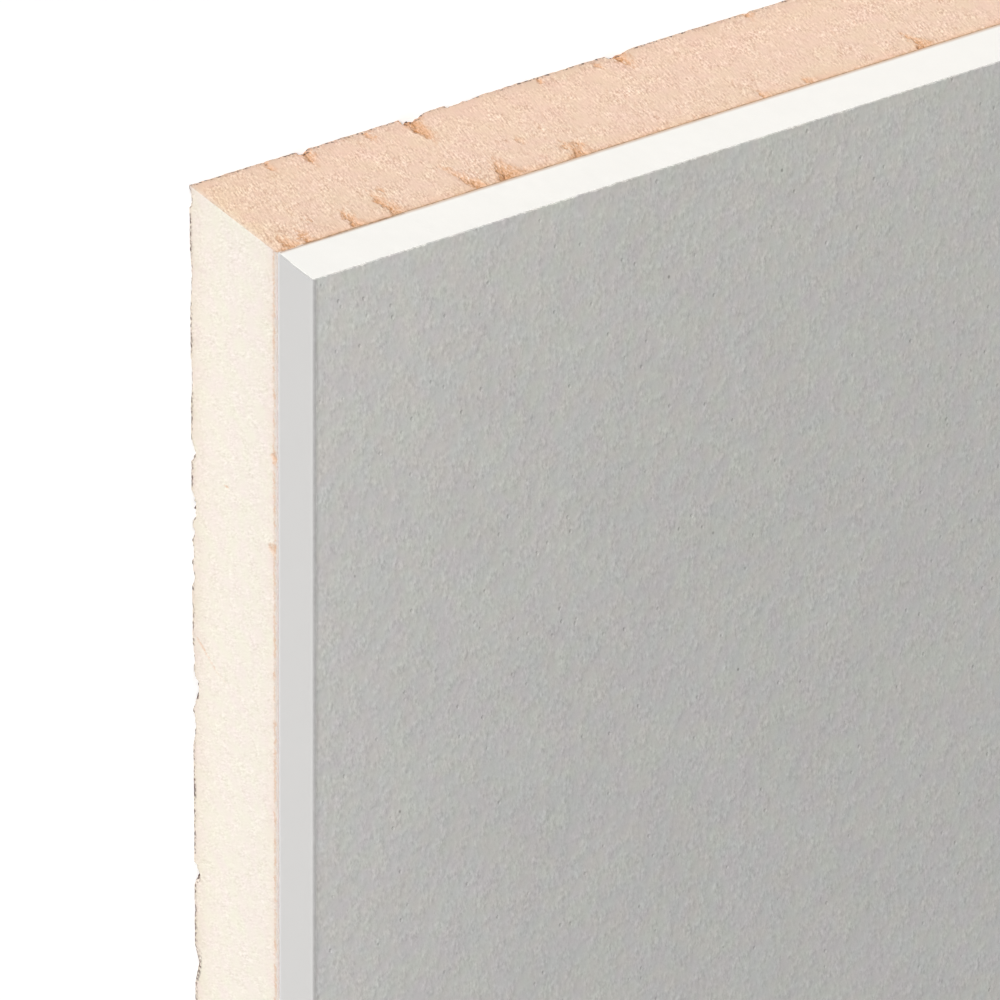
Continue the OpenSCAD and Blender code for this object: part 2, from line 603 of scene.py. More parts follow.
FACE_PATCHES = (
    Patches((4 * MM, 6 * MM, 4 * MM), 2.0, 0.14, (1.0, 0.974, 0.982), (0.974, 1.0, 0.982)),
    Patches(even(5 * MM), 1.0, 0.14, (1.0, 1.0, 0.977), (0.983, 0.976, 1.0)),
    Patches((15 * MM, 24 * MM, 15 * MM), 2.0, 0.2, even(0.97), even(1.0)),
)
# Sizes of the noises and of the flecks' cells in the face paper, along X, Y and Z
BLOTCH_SIZE = (1.8 * MM, 2.4 * MM, 1.8 * MM)
FIBRE_VIGOUR_SIZE = (2.2 * MM, 3.1 * MM, 2.2 * MM)
LINT_CELL = (4 * MM, 6 * MM, 4 * MM)
SPECK_CELL = (7 * MM, 10 * MM, 7 * MM)
PIT_CELL = (2.6 * MM, 3.8 * MM, 2.6 * MM)
# How far the painted light that makes the paper paler reaches onto the face from the long edges and from the
# ends
PAINTED_LIGHT_EDGE_REACH = 46 * MM
PAINTED_LIGHT_END_REACH = 79 * MM


def foam_looks(settings):
    """The sawn ends, the planed long edges, the planed back and the face glued to the board."""
    size = settings.grain_size
    lean = settings.saw_lean
    sawn_end = FoamLook(
        name="foam_sawn_end", base=settings.end_colour, contrast=0.325, weights=(0.68, 1.0, 1.2),
        grain=(size, size, 2.1 * size), grain_turn=(0.0, -lean, 0.0),
        drag=(1.3 * size, size, 4.6 * size), drag_turn=(0.0, -0.45 * lean, 0.0),
        drag_height=settings.end_grain,
        joint_tint=(0.975, 0.86, 0.76), joint_reach=1.4 * MM,
        back_tint=(0.83, 0.84, 0.86), back_reach=2.4 * MM,
        line_place=0.1 * MM, line_half=0.5 * MM, line_share=0.76, band=0.0,
        patchy=0.6, dash_level=0.535, tearing=1.0,
    )
    long_edge = FoamLook(
        name="foam_long_edge", base=settings.edge_colour, contrast=0.12, weights=(0.85, 0.95, 1.15),
        grain=(1.2 * size, 1.2 * size, 2.6 * size), grain_turn=(-1.3 * lean, 0.0, 0.0),
        drag=(1.3 * size, 1.3 * size, 4.0 * size), drag_turn=(-lean, 0.0, 0.0),
        drag_height=settings.edge_grain,
        joint_tint=(0.96, 0.87, 0.85), joint_reach=2.0 * MM,
        back_tint=(0.865, 0.815, 0.785), back_reach=3.2 * MM,
        line_place=0.75 * MM, line_half=0.55 * MM, line_share=0.5, band=1.1 * MM,
        patchy=0.7, dash_level=0.488, tearing=0.6,
    )
    back = long_edge._replace(
        name="foam_back", base=settings.back_colour, line_share=0.0, band=0.0, tearing=1.0,
    )
    # Glue, made pale as painted light that lifts the shaded gap under the paper
    glued_face = back._replace(
        name="foam_glued_face", base=settings.glue_and_fill_light_colour,
        joint_tint=even(1.0), back_tint=even(1.0), tearing=0.0,
    )
    return sawn_end, long_edge, back, glued_face


def foam_tone(foam, look, settings, streaks, vigour):
    """Colour of clean foam: its grain, its patches and pits, and a painted highlight, paler foam, beside an
    upright corner.
    """
    shares = [look.contrast * weight for weight in look.weights]
    hollow = tinted(look.base, *(1 - share for share in shares))
    raised = tinted(look.base, *(1 + share for share in shares))
    varied = (streaks - 0.5) * vigour
    tone = foam.mixed(varied.ranged(-0.3, 0.3), hollow, raised)
    tone = foam.patched(tone, FOAM_PATCHES, look.patchy)
    pits = foam.flecks(tuple(3.2 * part for part in look.grain), 0.22, 0.2, look.grain_turn)
    tone = foam.mixed(pits * look.contrast, tone, settings.slope_shade_and_pit_colour)
    # Painted highlight by an upright corner: paler and yellower, and right at the corner the long edge's
    # colour
    tone = foam.mixed(foam.kept("corner_highlight"), tone, CORNER_HIGHLIGHT_TINT, "MULTIPLY")
    return foam.mixed(foam.kept("arris"), tone, settings.edge_colour)


def foam_borders(foam, look, settings, tone, grain, from_joint):
    """A tone with its painted shade towards the joint and its tint towards the back, and with the band of
    glue and dust.
    """
    from_back = foam.coordinate(2) - FOAM_LOW.z
    blush = foam.cloud(BLUSH_SIZE, 2.0)
    # Painted shade towards the joint
    near_joint = from_joint.fading(look.joint_reach) * blush.swung(0.12, 0.4, 1.0)
    tone = foam.mixed(near_joint, tone, look.joint_tint, "MULTIPLY")
    near_back = from_back.fading(look.back_reach) * blush.swung(0.12, 0.7, 1.0)
    tone = foam.mixed(near_back, tone, look.back_tint, "MULTIPLY")
    if look.band:
        ragged = from_joint + grain.swung(0.25, -0.3 * look.band, 0.3 * look.band)
        band = ragged.ranged(0.3 * look.band, 1.1 * look.band, 1.0, 0.0)
        tone = foam.mixed(band, tone, settings.band_colour)
    return tone


def foam_shade_line_and_dashes(foam, look, settings, tone, drag, from_joint):
    """A tone with a painted shade line along the joint, and with dark dashes on the worn back arris."""
    # Painted shade: a darker orange line along the joint
    wavy = from_joint + drag.swung(0.3, -LINE_SWAY, LINE_SWAY)
    line = abs(wavy - look.line_place).ranged(0.3 * look.line_half, look.line_half, look.line_share, 0.0)
    beads = foam.cloud(BEAD_SIZE).swung(0.15, 0.3, 1.4)
    tone = foam.mixed(line * beads, tone, settings.joint_shade_colour)
    # Dark dashes along the worn back arris
    foot = foam.kept("foot")
    tone = foam.mixed(foot * DASH_HAZE, tone, settings.dash_colour)
    spots = foam.cloud(DASH_SIZE) * 0.8 + foam.cloud(DASH_RUN_SIZE) * 0.2
    dashes = spots.ranged(look.dash_level, look.dash_level + DASH_EDGE)
    return foam.mixed(dashes * foot, tone, settings.dash_colour)


def foam_finish(look, settings):
    """Foam with its grain, painted shade in its torn spots, a painted shade line along the joint and dark
    dashes on its back arris.
    """
    foam = Finish(look.name, roughness=0.9, specular=0.15)
    grain = foam.cloud(look.grain, 2.0, look.grain_turn)
    drag = foam.cloud(look.drag, 1.0, look.drag_turn)
    streaks = grain * 0.72 + drag * 0.28
    vigour = foam.cloud(VIGOUR_SIZE).swung(0.2, 0.2, 1.8)
    from_joint = FOAM_HIGH.z - foam.coordinate(2)
    tone = foam_tone(foam, look, settings, streaks, vigour)
    tone = foam_borders(foam, look, settings, tone, grain, from_joint)
    torn = foam.kept("tear")
    # Painted shade in the tears: darker orange on their slopes and at their bottoms
    mottled = torn * streaks.swung(0.2, 1.7, 0.3)
    tone = foam.mixed(mottled.ranged(0.1, 0.6, 0.0, look.tearing), tone, settings.slope_shade_and_pit_colour)
    tone = foam.mixed(mottled.ranged(0.6, 1.3, 0.0, look.tearing), tone, settings.tear_shade_colour)
    if look.line_share:
        tone = foam_shade_line_and_dashes(foam, look, settings, tone, drag, from_joint)
    height = drag * (vigour * 0.6 + torn * 2.0 + 0.25)
    return foam.painted(tone, height, look.drag_height)


def gypsum_finish(settings):
    """Set gypsum, sawn: nearly white, with fine air holes, and stained beside the back paper."""
    gypsum = Finish("gypsum", roughness=0.95, specular=0.1)
    base = settings.gypsum_colour
    clouds = gypsum.cloud(even(7 * MM), 2.0).swung(0.2)
    tone = gypsum.mixed(clouds, tinted(base, 0.99), tinted(base, 1.005))
    holes = gypsum.flecks(even(2.4 * MM), 0.15, 0.12)
    tone = gypsum.mixed(holes * 0.05, tone, tinted(base, 0.7))
    above = gypsum.coordinate(2) - CORE_LOW.z
    tone = gypsum.mixed(above.ranged(0.2 * MM, 0.9 * MM, 0.78, 0.0), tone, settings.smear_colour)
    powder = gypsum.cloud(even(0.6 * MM), 2.0)
    return gypsum.painted(tone, powder, 0.012 * MM)


def face_tone(paper, settings, lean, vigour):
    """Colour of the loose face paper: painted light makes it paler along its borders and painted shade
    darker in the middle, with faint patches and speckled.
    """
    base = settings.face_colour
    # Painted light and shade: the face is darker in the middle and paler towards its long edges and ends
    field_in_shade = tinted(base, 0.94, 0.945, 0.955)
    light_along_edges = tinted(base, 1.095, 1.095, 1.11)
    light_along_ends = tinted(base, 0.084, 0.077, 0.057)
    tone = paper.mixed(paper.from_border(0, WRAP_HIGH.x).fading(PAINTED_LIGHT_EDGE_REACH), field_in_shade, light_along_edges)
    tone = paper.mixed(paper.from_border(1, WRAP_HIGH.y).fading(PAINTED_LIGHT_END_REACH), tone, light_along_ends, "ADD")
    tone = paper.patched(tone, FACE_PATCHES)
    blotches = paper.cloud(BLOTCH_SIZE, 1.0, lean).swung(0.2)
    tone = paper.dyed(tone, blotches, even(0.992), even(1.008))
    width, run = settings.fibre_width, settings.fibre_length
    grain = paper.cloud((0.62 * width, 0.62 * run, width), 1.5, lean)
    speckle = ((grain - 0.5) * vigour).ranged(-0.25, 0.25)
    return paper.dyed(tone, speckle, even(0.895), even(1.105))


def face_paper_finish(settings):
    """Grey recycled paper: fine fibres, sparse flecks and a faint mottle, but plain where it is tight, and
    with painted shade along its crease.
    """
    paper = Finish("face_paper", roughness=0.88, specular=0.2)
    lean = (0.0, 0.0, settings.fibre_lean)
    vigour = paper.cloud(FIBRE_VIGOUR_SIZE, 1.0, lean).swung(0.2, 0.2, 1.5)
    tone = face_tone(paper, settings, lean, vigour)
    lint = paper.flecks(LINT_CELL, 0.12, 0.11, lean)
    tone = paper.mixed(lint * 0.25, tone, tinted(settings.face_colour, 1.5))
    specks = paper.flecks(SPECK_CELL, 0.16, 0.055, lean)
    tone = paper.mixed(specks * 0.55, tone, settings.fleck_colour)
    pits = paper.flecks(PIT_CELL, 0.35, 0.15, lean)
    tone = paper.mixed(pits * 0.06, tone, settings.fleck_colour)
    level = paper.coordinate(2) - WRAP_LOW.z
    tone = paper.mixed(level.ranged(0.4 * MM, 0.8 * MM, 0.55, 0.0), tone, settings.back_colour)
    # Painted bounce light on the paper's lower bend beside the foam
    edge = paper.mixed(level.ranged(0.4 * MM, 1.2 * MM), settings.edge_bounce_colour, settings.edge_colour)
    loose = 1.0 - paper.kept("tight")
    tone = paper.mixed(loose, edge, tone)
    width, run = settings.fibre_width, settings.fibre_length
    fibres = paper.cloud((0.9 * width, 0.9 * run, width), 2.0, lean)
    # Painted shade along the crease where the paper comes onto the face
    crease_shade = paper.kept("crease_shade") * fibres.swung(0.2, 0.34, 0.22)
    tone = paper.mixed(crease_shade, tone, settings.fleck_colour)
    height = (fibres * (vigour * 0.68) - pits * 0.6) * loose
    return paper.painted(tone, height, settings.fibre_height)


def back_paper_finish(settings):
    """Brown paper between the gypsum and the foam, seen on its cut ends."""
    paper = Finish("back_paper", roughness=0.9, specular=0.2)
    base = settings.back_colour
    fibres = paper.cloud((settings.fibre_width, settings.fibre_length, settings.fibre_width), 2.0)
    tone = paper.mixed(fibres.swung(0.2), tinted(base, 0.7), tinted(base, 1.3))
    return paper.painted(tone, fibres, settings.fibre_height)


class Stretch(NamedTuple):
    """A stretch of a side whose mesh is of one fineness."""

    length: float
    step: float  # Between its columns of vertices
    split: int  # Rows of faces to each coarse row


class Side(NamedTuple):
    """One side of the foam board."""

    corner: tuple  # Where it starts
    along: tuple  # The way it runs
    out: tuple  # The way it faces
    sawn: bool
    stretches: tuple
    tears: list
    chips: list


class Column(NamedTuple):
    """An upright column of vertices on a side of the foam board."""

    side: int
    run: float  # Distance along the side
    rows: int


class Walls(NamedTuple):
    """The vertices of the foam board's four sides, with an array for each value."""

    side: np.ndarray
    corner: np.ndarray  # Whether two sides meet there
    sawn: np.ndarray
    across: np.ndarray  # Distance from the left edge on a sawn end, or from the far end on a long edge
    height: np.ndarray  # Above the back
    pitch: np.ndarray  # Height of the lowest row of faces
    points: np.ndarray
    out: np.ndarray


def random_tears(span, start, spacing, largest, arrises, seed):
    """Tears scattered along some arrises of a side, past the stretch whose tears are listed."""
    dice = random.Random(seed)
    largest = largest.in_metres()
    tears = []
    place = start
    while True:
        place += spacing * dice.uniform(0.3, 1.7)
        if place > span:
            return tears
        size = dice.uniform(0.35, 1.0)
        tears.append(Tear(
            place,
            dice.choice(arrises),
            0.0,
            largest.length * size,
            largest.width * dice.uniform(0.5, 1.0),
            largest.depth * size,
            dice.uniform(-1.0, 1.0) * largest.lean,
        ))


def stretches(length, mesh):
    """A side meshed coarsely as a whole, and the fine and the coarse stretch of one at the corner."""
    whole = Stretch(length, mesh.coarse, 1)
    return whole, Stretch(mesh.reach, mesh.fine, mesh.split), whole._replace(length=length - mesh.reach)


def foam_sides(settings):
    """The four sides of the foam board, in order round it, with their mesh stretches and tears."""
    left, near = FOAM_LOW.x, FOAM_LOW.y
    right, far = FOAM_HIGH.x, FOAM_HIGH.y
    whole_end, end_fine, end_rest = stretches(FOAM_WIDTH, FAR_END_MESH)
    whole_edge, edge_fine, edge_rest = stretches(FOAM_LENGTH, LEFT_EDGE_MESH)
    end_tears, end_chips, edge_tears, edge_chips = (
        [tear.in_metres() for tear in tears]
        for tears in (CORNER_END_TEARS, CORNER_END_CHIPS, CORNER_EDGE_TEARS, CORNER_EDGE_CHIPS)
    )
    seed = settings.seed
    on_end = (settings.tear_spacing, LARGEST_END_TEAR, ("joint", "back"))
    on_edge = (settings.nick_spacing, LARGEST_NICK, ("back",))
    end_tears += random_tears(FOAM_WIDTH, END_PLACED_BY_HAND, *on_end, seed)
    edge_chips += random_tears(FOAM_LENGTH, EDGE_PLACED_BY_HAND, *on_edge, seed + 1)
    near_tears = random_tears(FOAM_WIDTH, 0.0, *on_end, seed + 2)
    right_chips = random_tears(FOAM_LENGTH, 0.0, *on_edge, seed + 3)
    return (
        Side((left, near), (1, 0), (0, -1), True, (whole_end,), near_tears, []),
        Side((right, near), (0, 1), (1, 0), False, (whole_edge,), [], right_chips),
        Side((right, far), (-1, 0), (0, 1), True, (end_rest, end_fine), end_tears, end_chips),
        Side((left, far), (0, -1), (-1, 0), False, (edge_fine, edge_rest), edge_tears, edge_chips),
    )


def foam_columns(sides):
    """Upright columns of vertices, in order round the board."""
    columns = []
    for number, side in enumerate(sides):
        start = 0.0
        for stretch in side.stretches:
            rows = FOAM_ROWS * stretch.split
            runs = spaced(start, start + stretch.length, stretch.step)
            columns += [Column(number, run, rows) for run in runs]
            start += stretch.length
    return columns


def foam_walls(sides, columns):
    """The vertices of the board's sides before anything is worn off them."""
    rows = np.array([column.rows for column in columns])
    number = np.repeat([column.side for column in columns], rows + 1)
    run = np.repeat([column.run for column in columns], rows + 1)
    share = np.concatenate([np.linspace(0, 1, column.rows + 1) for column in columns])
    height = FOAM_THICKNESS * closer(share, FOAM_ROW_SPREAD)
    pitch = FOAM_THICKNESS * closer(np.repeat(1 / rows, rows + 1), FOAM_ROW_SPREAD)
    corner = run == 0
    points = np.zeros((len(run), 3))
    out = np.zeros((len(run), 2))
    for s, side in enumerate(sides):
        here = number == s
        points[here, :2] = np.array(side.corner) + np.outer(run[here], side.along)
        out[here] = side.out
        out[here & corner] += sides[s - 1].out
    points[:, 2] = FOAM_LOW.z + height
    sawn = np.array([side.sawn for side in sides])[number]
    across = np.where(sawn, points[:, 0] - FOAM_LOW.x, FOAM_HIGH.y - points[:, 1])
    return Walls(number, corner, sawn, across, height, pitch, points, out)


def tear_depth(tear, across, height, steep):
    """Depth of a tear, deepest near its arris and dying out at its tip. One flank may be steep."""
    rise = (height if tear.arris == "back" else FOAM_THICKNESS - height) - tear.start
    share = rise / tear.length
    taper = np.clip(1 - share, 0, 1)
    opening = np.clip(1 + rise / TEAR_OPENING, 0, 1)
    half = 0.5 * tear.width * (TEAR_TIP + (1 - TEAR_TIP) * taper) + 0.01 * MM
    offset = (across - tear.place - tear.lean * share) / half
    if steep:
        flanks = np.clip(1 - np.where(offset < 0, -steep * offset, GENTLE_FLANK * offset), 0, 1) ** 0.8
    else:
        flanks = np.clip(1 - offset ** 4, 0, 1)
    return tear.depth * flanks * taper ** 0.6 * opening


def deepest(tears, across, height, steep, widen=1.0):
    """Depth of the deepest of some tears at each place, with the tears made wider by a factor."""
    depth = np.zeros(len(across))
    for tear in tears:
        wide = tear._replace(length=tear.length * (1 + 0.3 * (widen - 1)), width=tear.width * widen)
        depth = np.maximum(depth, tear_depth(wide, across, height, steep))
    return depth


def scratch_depth(across, height):
    """Depth of the thin scratch on the left edge, deepest at its start."""
    path = np.array(CORNER_SCRATCH) * MM
    deep = np.zeros(len(across))
    fade = 1.0
    for (start_across, start_height), run in zip(path, np.diff(path, axis=0)):
        on = across - start_across
        up = height - start_height
        share = np.clip((on * run[0] + up * run[1]) / (run @ run), 0, 1)
        away = np.hypot(on - share * run[0], up - share * run[1])
        deep = np.maximum(deep, fade * (1 - 0.4 * share) * np.clip(1 - away / SCRATCH_WIDTH, 0, 1))
        fade *= 0.5
    return SCRATCH_DEPTH * deep


def foam_damage(walls, sides):
    """Depth of the tears, of the wider halos round them that take painted shade, and of the chips, at each
    vertex.
    """
    across = walls.across + MM * uneven(walls.points, TEAR_SWAY)
    climbed = walls.height + MM * uneven(walls.points, TEAR_CLIMB)
    torn, shade_halo, chipped = np.zeros((3, len(across)))
    for number, side in enumerate(sides):
        here = (walls.side == number) & ~walls.corner
        steep = STEEP_FLANK if side.sawn else 0
        torn[here] = deepest(side.tears, across[here], climbed[here], steep)
        shade_halo[here] = deepest(side.tears, across[here], climbed[here], steep, SHADE_HALO_WIDTH)
        chipped[here] = deepest(side.chips, across[here], walls.height[here], 3 * steep)
    torn *= np.clip(1 + uneven(walls.points, TEAR_BOTTOM), 0, 2)
    chipped *= np.clip(1 + uneven(walls.points, CHIP_BOTTOM), 0, 2)
    return torn, shade_halo, chipped


def arris_wear(walls, settings):
    """How far the arrises are rubbed back at each vertex, more in some spots than in others."""
    to_arris = np.minimum(walls.height, FOAM_THICKNESS - walls.height)
    reach = np.maximum(WORN_REACH, 1.05 * walls.pitch)
    waves = uneven(walls.points, ARRIS_WAVES) * np.where(walls.sawn, 0.35, 0.9)
    rubbed = np.clip(0.5 + waves + uneven(walls.points, ARRIS_CRUMBS), 0, 2)
    most = np.where(walls.sawn, settings.end_wear, settings.edge_wear)
    wear = most * rubbed * np.clip(1 - to_arris / reach, 0, 1)
    return np.where(walls.corner, np.maximum(wear, 0.4 * most * (0.5 + rubbed)), wear)


def foam_vertices(sides, columns, settings):
    """Worn vertices of the board's sides, with how torn the foam is, where it takes painted highlights by an
    upright corner and how dark its back arris is, at each.
    """
    walls = foam_walls(sides, columns)
    torn, shade_halo, chipped = foam_damage(walls, sides)
    wear = arris_wear(walls, settings)
    left_edge = (walls.side == len(sides) - 1) & ~walls.corner
    scratch = np.where(left_edge, scratch_depth(walls.across, walls.height), 0)
    relief = settings.saw_relief * np.clip(1 + uneven(walls.points, SAW_WAVES), 0, 2)
    relief *= np.where(walls.corner, 0, np.where(walls.sawn, 1.0, 0.45))
    inward = np.maximum.reduce((torn, chipped, scratch)) + wear + relief
    points = walls.points.copy()
    points[:, :2] -= walls.out * inward[:, None]
    tear = np.clip(np.maximum(torn / FULL_TEAR, 0.7 * shade_halo / FULL_SHADE_HALO), 0, 1)
    at_back = (walls.height < 0.5 * FOAM_THICKNESS) & ~walls.corner
    to_corner = np.clip(np.minimum(walls.across, FOAM_WIDTH - walls.across), 0, None)
    return points, {
        "tear": np.maximum(tear, scratch / FULL_SCRATCH),
        # Painted highlights on a sawn end by an upright corner
        "arris": np.where(walls.sawn, 0.7 * np.exp(-to_corner / EDGE_HIGHLIGHT_REACH), 0),
        "corner_highlight": np.where(walls.sawn, np.exp(-to_corner / CORNER_HIGHLIGHT_REACH), 0),
        "foot": np.where(at_back, np.clip((wear + chipped) / FULL_DASHES - 0.2, 0, 1), 0),
    }


# Places of the four foam finishes among the board's materials
SAWN_END, LONG_EDGE, BACK, GLUED_FACE = range(4)


def foam_faces(sides, columns):
    """Faces of the board's sides, back and glued face, and the finish that each takes."""
    starts = np.concatenate(([0], np.cumsum([column.rows + 1 for column in columns]))).tolist()
    faces = []
    finishes = []
    for number, column in enumerate(columns):
        following = (number + 1) % len(columns)
        here, there = starts[number], starts[following]
        steps = min(column.rows, columns[following].rows)
        split_here, split_there = column.rows // steps, columns[following].rows // steps
        for step in range(steps):
            up_there = range(there + step * split_there, there + (step + 1) * split_there + 1)
            down_here = range(here + (step + 1) * split_here, here + step * split_here - 1, -1)
            faces.append([*up_there, *down_here])
            finishes.append(SAWN_END if sides[column.side].sawn else LONG_EDGE)
    faces.append(starts[-2::-1])
    faces.append([start - 1 for start in starts[1:]])
    finishes += [BACK, GLUED_FACE]
    return faces, finishes


class SHEET_OT_insulation_board(bpy.types.Operator):
    """Builds the rigid foam board, with its sawn ends, planed long edges and tears"""

    bl_idname = "sheet.insulation_board"
    bl_label = "Insulation board"

    def execute(self, context):
        settings = context.scene.sheet_foam
        sides = foam_sides(settings)
        columns = foam_columns(sides)
        points, kept = foam_vertices(sides, columns, settings)
        faces, finishes = foam_faces(sides, columns)
        materials = [foam_finish(look, settings) for look in foam_looks(settings)]
        piece = make_piece("foam_board", "insulation_board", points, faces, materials, finishes)
        for key, values in kept.items():
            store(piece.data, key, values)
        return {"FINISHED"}


def core_columns():
    """Places across the core where its end is divided, close together near the corner and at its bends."""
    half = CORE_HIGH.x
    bends = [half - CORE_RADIUS * (1 - math.cos(math.radians(turn))) for turn in (0, 30, 60, 90)]
    rebate = (FLAP_EDGE - SHARP_STEP, FLAP_EDGE + SHARP_STEP)
    marks = [sign * place for place in (*bends, *rebate) for sign in (-1, 1)]
    inner = half - CORE_RADIUS
    reach = -inner + CORE_MESH.reach
    fine = spaced(-inner + CORE_MESH.fine, reach, CORE_MESH.fine)
    coarse = spaced(reach, inner - CORE_MESH.fine, CORE_MESH.coarse)
    between = [x for x in (*fine, *coarse) if min(abs(abs(x) - FLAP_EDGE), half - abs(x)) > 2 * SHARP_STEP]
    return np.array(sorted((*marks, *between)))


def core_section(x):
    """Lowest and highest point of the core at places across it."""
    past = np.clip(np.abs(x) - (CORE_HIGH.x - CORE_RADIUS), 0, CORE_RADIUS)
    drop = CORE_RADIUS - np.sqrt(CORE_RADIUS ** 2 - past ** 2)
    over_flap = CORE_LOW.z + FACE_PAPER_THICKNESS
    low = np.where(np.abs(x) > FLAP_EDGE, over_flap + drop, CORE_LOW.z)
    return low, CORE_HIGH.z - drop


class SHEET_OT_gypsum_core(bpy.types.Operator):
    """Builds the gypsum core, with its two sawn ends"""

    bl_idname = "sheet.gypsum_core"
    bl_label = "Gypsum core"

    def execute(self, context):
        settings = context.scene.sheet_core
        x = core_columns()
        low, high = core_section(x)
        share = np.linspace(0, 1, CORE_ROWS + 1)
        z = low[:, None] + (high - low)[:, None] * share
        ends = []
        for sign, y in ((-1, CORE_LOW.y), (1, CORE_HIGH.y)):
            end = np.stack(np.broadcast_arrays(x[:, None], y, z), axis=-1).reshape(-1, 3)
            end[:, 1] -= sign * settings.crumble * np.clip(1 + uneven(end, GYPSUM_CRUMBS), 0, 2.5)
            ends.append(end)
        near = np.arange(z.size).reshape(z.shape)
        rim = np.concatenate((near[:, 0], near[-1, 1:], near[-2::-1, -1], near[0, -2::-1]))
        faces = quads(near) + quads(near + near.size, turned=True) + quads(np.stack((rim, rim + near.size)))
        points = np.concatenate(ends)
        make_piece("gypsum_board_core", "gypsum_core", points, faces, [gypsum_finish(settings)])
        return {"FINISHED"}


class PathPoint(NamedTuple):
    """A point on the outside of a paper's section."""

    x: float
    z: float
    out_x: float  # The way the paper faces there
    out_z: float
    tight: float  # How tight the paper is pulled
    crease_shade: float  # How much painted shade its crease takes


def across_places(low, high):
    """Places across the sheet, close together near the left edge."""
    fine = spaced(low, low + PAPER_MESH.reach, PAPER_MESH.fine)
    coarse = spaced(low + PAPER_MESH.reach, high, PAPER_MESH.coarse)
    return [*fine, *coarse, high]


def wrap_path():
    """Outside of the face paper's section, from one flap's edge over the face to the other flap's edge."""
    half, bottom, top = WRAP_HIGH.x, WRAP_LOW.z, WRAP_HIGH.z
    inner, lower, upper = half - WRAP_RADIUS, bottom + WRAP_RADIUS, top - WRAP_RADIUS
    path = []

    def bend(side, level, start, stop):
        """A turn of the paper round an arris, which creases where it comes onto the face and takes painted
        shade there.
        """
        for turn in np.radians(np.linspace(start, stop, BEND_PARTS + 1)[1:-1]):
            out_x, out_z = math.cos(turn), math.sin(turn)
            x, z = side * inner + WRAP_RADIUS * out_x, level + WRAP_RADIUS * out_z
            crease_shade = min(1.0, max(0.0, (out_z - 0.55) / 0.3))
            path.append(PathPoint(x, z, out_x, out_z, 1.0, crease_shade))

    def flat(start, stop, parts, out, tight):
        """A flat stretch of the paper."""
        for x, z in np.linspace(start, stop, parts + 1):
            path.append(PathPoint(x, z, *out, tight, 0.0))

    flat((-FLAP_EDGE, bottom), (-inner, bottom), FLAP_PARTS, (0, -1), 0.0)
    bend(-1, lower, 270, 180)
    flat((-half, lower), (-half, upper), EDGE_PARTS, (-1, 0), 1.0)
    bend(-1, upper, 180, 90)
    for x in across_places(-inner, inner):
        from_arris = inner - abs(x)
        slack = min(1.0, from_arris / TIGHT_REACH)
        crease_shade = math.exp(-(from_arris / CREASE_SHADE_REACH) ** 2)
        path.append(PathPoint(x, top, 0, 1, 1 - slack, crease_shade))
    bend(1, upper, 90, 0)
    flat((half, upper), (half, lower), EDGE_PARTS, (1, 0), 1.0)
    bend(1, lower, 360, 270)
    flat((inner, bottom), (FLAP_EDGE, bottom), FLAP_PARTS, (0, -1), 0.0)
    return path


def back_path():
    """Top of the back paper's section, from one long edge of it to the other."""
    return [PathPoint(x, BACK_HIGH.z, 0, 1, 0.0, 0.0) for x in across_places(BACK_LOW.x, BACK_HIGH.x)]


def lay_paper(name, node, path, thickness, end, fray, material):
    """Makes a thin paper along the sheet from its section, with unevenly cut ends about the place end."""
    x, z, out_x, out_z, tight, crease_shade = np.array(path).T
    from_end = np.array(END_ROWS) * MM
    middle = np.linspace(MIDDLE_START - end, end - MIDDLE_START, MIDDLE_ROWS)
    rows = np.concatenate((from_end - end, middle, end - from_end[::-1]))
    y = np.tile(rows[:, None], len(x))
    for sign in (-1, 1):
        spots = np.stack((x, np.full(len(x), sign * end), z), axis=1)
        tufts = 1.2 * np.clip(uneven(spots, PAPER_TUFTS) - 0.35, 0, 1)
        cut = fray * (uneven(spots, PAPER_CUT) + tufts - 0.7)
        y += sign * np.outer(np.clip(1 - (end - sign * rows) / FRAY_REACH, 0, 1), cut)
    points = np.concatenate([
        np.stack(np.broadcast_arrays(x - inset * out_x, y, z - inset * out_z), axis=-1).reshape(-1, 3)
        for inset in (0.0, thickness)
    ])
    outer = np.arange(y.size).reshape(y.shape)
    inner = outer + outer.size
    faces = quads(outer, turned=True) + quads(inner)
    for border, turned in ((0, False), (-1, True)):
        faces += quads(np.stack((outer[:, border], inner[:, border]), axis=1), turned)
        faces += quads(np.stack((outer[border], inner[border])), turned)
    piece = make_piece(name, node, points, faces, [material])
    store(piece.data, "tight", np.tile(tight, 2 * len(rows)))
    store(piece.data, "crease_shade", np.tile(crease_shade, 2 * len(rows)))


class SHEET_OT_papers(bpy.types.Operator):
    """Lays the grey face paper round the board and the brown back paper between board and foam"""

    bl_idname = "sheet.papers"
    bl_label = "Face and back paper"

    def execute(self, context):
        settings = context.scene.sheet_paper
        lay_paper(
            "face_paper_wrap", "face_paper", wrap_path(),
            FACE_PAPER_THICKNESS, WRAP_HIGH.y, settings.fray, face_paper_finish(settings),
        )
        back_end = BACK_HIGH.y - BACK_PAPER_SHORT
        lay_paper(
            "back_paper_liner", "back_paper", back_path(),
            BACK_PAPER_THICKNESS, back_end, BACK_PAPER_FRAY * settings.fray, back_paper_finish(settings),
        )
        return {"FINISHED"}


def bearing(azimuth, elevation):
    """Direction from the sheet towards something that stands round it."""
    flat = math.cos(elevation)
    return Vector((math.sin(azimuth) * flat, -math.cos(azimuth) * flat, math.sin(elevation)))


